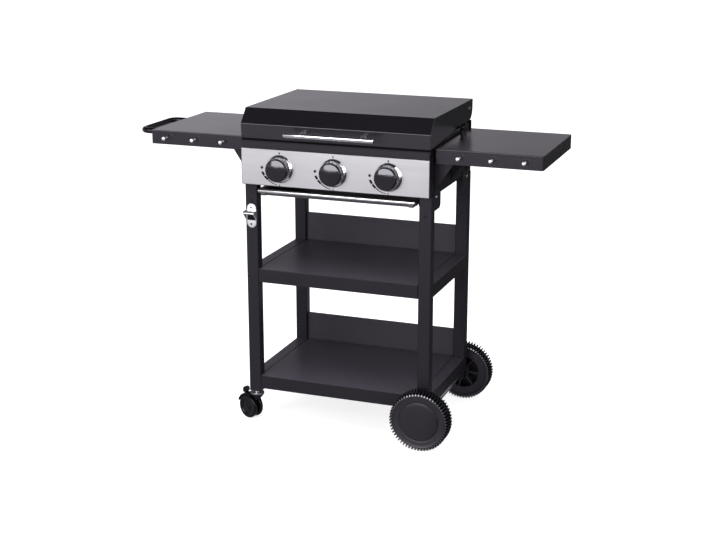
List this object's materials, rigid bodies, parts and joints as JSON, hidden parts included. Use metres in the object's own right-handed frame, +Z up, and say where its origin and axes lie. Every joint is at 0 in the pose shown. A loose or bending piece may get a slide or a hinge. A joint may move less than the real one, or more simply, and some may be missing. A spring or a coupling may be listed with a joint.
{
  "type": "outdoor gas griddle station",
  "caption": "Lidded flat-plate gas griddle head with control knobs and side tables, on an open two-shelf cart with large wheels on one side and swivel casters on the other.",
  "frame": {"origin": "centre of the floor rectangle that the whole station covers", "axes": "+X to the right as seen by the cook, towards the large wheels; front faces -Y; +Z up"},
  "size_m": [1.2746, 0.5273, 0.9805],
  "materials": {
    "frame_paint": "black powder coat, fine texture",
    "head_paint": "black heat-proof paint",
    "table_paint": "black powder coat, fine texture",
    "lid_paint": "black semi-gloss enamel",
    "stainless": "brushed along its length",
    "chrome": "polished chrome plate",
    "zinc": "zinc plated",
    "knob_plastic": "glossy black",
    "brass": "machined brass",
    "burner_steel": "stainless tube",
    "plate_iron": "seasoned cooking steel",
    "tray_steel": "black enamel",
    "black_plastic": "matte black",
    "cast_chrome": "cast and plated",
    "wheel_plastic": "moulded, faintly textured",
    "cap_plastic": "moulded, satin",
    "caster_plastic": "moulded grey-black",
    "caster_tread": "moulded black"
  },
  "bodies": {
    "cart": {"axle": "zinc", "axle_blocks": "black_plastic", "back_boards": "frame_paint", "bottle_opener": "cast_chrome", "burner_shield": "burner_steel", "burners": "burner_steel", "caster_plugs": "black_plastic", "caster_stems": "zinc", "control_panel": "stainless", "gas_manifold": "zinc", "gas_valves": "brass", "griddle_plate": "plate_iron", "head_shell": "head_paint", "igniter_electrodes": "zinc", "knob_bezels": "chrome", "leg_brackets": "frame_paint", "leg_front_left": "frame_paint", "leg_front_right": "frame_paint", "leg_rear_left": "frame_paint", "leg_rear_right": "frame_paint", "lid_bumpers": "black_plastic", "lid_pivot_plates": "head_paint", "screws": "zinc", "shelf_lower": "frame_paint", "shelf_middle": "frame_paint", "side_handle": "frame_paint", "side_rail_lower_left": "frame_paint", "side_rail_lower_right": "frame_paint", "side_rail_middle_left": "frame_paint", "side_rail_middle_right": "frame_paint", "side_table_left": "table_paint", "side_table_right": "table_paint", "table_gussets": "frame_paint", "table_hooks": "chrome", "tray_runners": "frame_paint"},
    "lid": {"lid_shell": "lid_paint", "lid_handle_bar": "stainless", "lid_handle_posts": "chrome", "lid_pivot_bolts": "zinc"},
    "tray": {"grease_tray": "tray_steel", "tray_bar": "stainless"},
    "sleeve_left": {"push_sleeve_left": "brass"},
    "knob_left": {"knob_left": "knob_plastic", "valve_stem_left": "brass"},
    "sleeve_centre": {"push_sleeve_centre": "brass"},
    "knob_centre": {"knob_centre": "knob_plastic", "valve_stem_centre": "brass"},
    "sleeve_right": {"push_sleeve_right": "brass"},
    "knob_right": {"knob_right": "knob_plastic", "valve_stem_right": "brass"},
    "wheel_front": {"wheel_front": "wheel_plastic", "hub_cap_front": "cap_plastic"},
    "caster_swivel_front": {"caster_fork_front": "caster_plastic"},
    "caster_roll_front": {"caster_wheels_front": "caster_tread"},
    "caster_pedal_front": {"caster_brake_front": "caster_plastic"},
    "wheel_rear": {"wheel_rear": "wheel_plastic", "hub_cap_rear": "cap_plastic"},
    "caster_swivel_rear": {"caster_fork_rear": "caster_plastic"},
    "caster_roll_rear": {"caster_wheels_rear": "caster_tread"},
    "caster_pedal_rear": {"caster_brake_rear": "caster_plastic"}
  },
  "joints": [
    {"name": "lid_hinge", "type": "hinge", "parent": "cart", "child": "lid", "pos_m": [0.0313, 0.17585, 0.954], "axis": [-1, 0, 0], "range_deg": [0, 96]},
    {"name": "tray_slide", "type": "slide", "parent": "cart", "child": "tray", "axis": [0, -1, 0], "range_m": [0, 0.25]},
    {"name": "push_left", "type": "slide", "parent": "cart", "child": "sleeve_left", "axis": [0, 1, 0], "range_m": [0, 0.004], "stiffness_N_per_m": 1200, "springref_m": -0.002},
    {"name": "turn_left", "type": "hinge", "parent": "sleeve_left", "child": "knob_left", "pos_m": [-0.1367, -0.21955, 0.8105], "axis": [0, -1, 0], "range_deg": [0, 180]},
    {"name": "push_centre", "type": "slide", "parent": "cart", "child": "sleeve_centre", "axis": [0, 1, 0], "range_m": [0, 0.004], "stiffness_N_per_m": 1200, "springref_m": -0.002},
    {"name": "turn_centre", "type": "hinge", "parent": "sleeve_centre", "child": "knob_centre", "pos_m": [0.0313, -0.21955, 0.8105], "axis": [0, -1, 0], "range_deg": [0, 180]},
    {"name": "push_right", "type": "slide", "parent": "cart", "child": "sleeve_right", "axis": [0, 1, 0], "range_m": [0, 0.004], "stiffness_N_per_m": 1200, "springref_m": -0.002},
    {"name": "turn_right", "type": "hinge", "parent": "sleeve_right", "child": "knob_right", "pos_m": [0.1993, -0.21955, 0.8105], "axis": [0, -1, 0], "range_deg": [0, 180]},
    {"name": "wheel_turn_front", "type": "hinge", "parent": "cart", "child": "wheel_front", "pos_m": [0.3068, -0.22515, 0.09075], "axis": [0, 1, 0], "continuous": true},
    {"name": "caster_swivel_front", "type": "hinge", "parent": "cart", "child": "caster_swivel_front", "pos_m": [-0.2407, -0.17965, 0.09], "axis": [0, 0, 1], "continuous": true},
    {"name": "caster_roll_front", "type": "hinge", "parent": "caster_swivel_front", "child": "caster_roll_front", "pos_m": [-0.26902, -0.16704, 0.0375], "axis": [0.4067, 0.9135, 0], "continuous": true},
    {"name": "caster_brake_front", "type": "hinge", "parent": "caster_swivel_front", "child": "caster_pedal_front", "pos_m": [-0.28798, -0.1586, 0.07344], "axis": [-0.4067, -0.9135, 0], "range_deg": [0, 20]},
    {"name": "wheel_turn_rear", "type": "hinge", "parent": "cart", "child": "wheel_rear", "pos_m": [0.3068, 0.23885, 0.09075], "axis": [0, 1, 0], "continuous": true},
    {"name": "caster_swivel_rear", "type": "hinge", "parent": "cart", "child": "caster_swivel_rear", "pos_m": [-0.2407, 0.19335, 0.09], "axis": [0, 0, 1], "continuous": true},
    {"name": "caster_roll_rear", "type": "hinge", "parent": "caster_swivel_rear", "child": "caster_roll_rear", "pos_m": [-0.26609, 0.17557, 0.0375], "axis": [-0.5736, 0.8192, 0], "continuous": true},
    {"name": "caster_brake_rear", "type": "hinge", "parent": "caster_swivel_rear", "child": "caster_pedal_rear", "pos_m": [-0.28309, 0.16367, 0.07344], "axis": [0.5736, -0.8192, 0], "range_deg": [0, 20]}
  ]
}
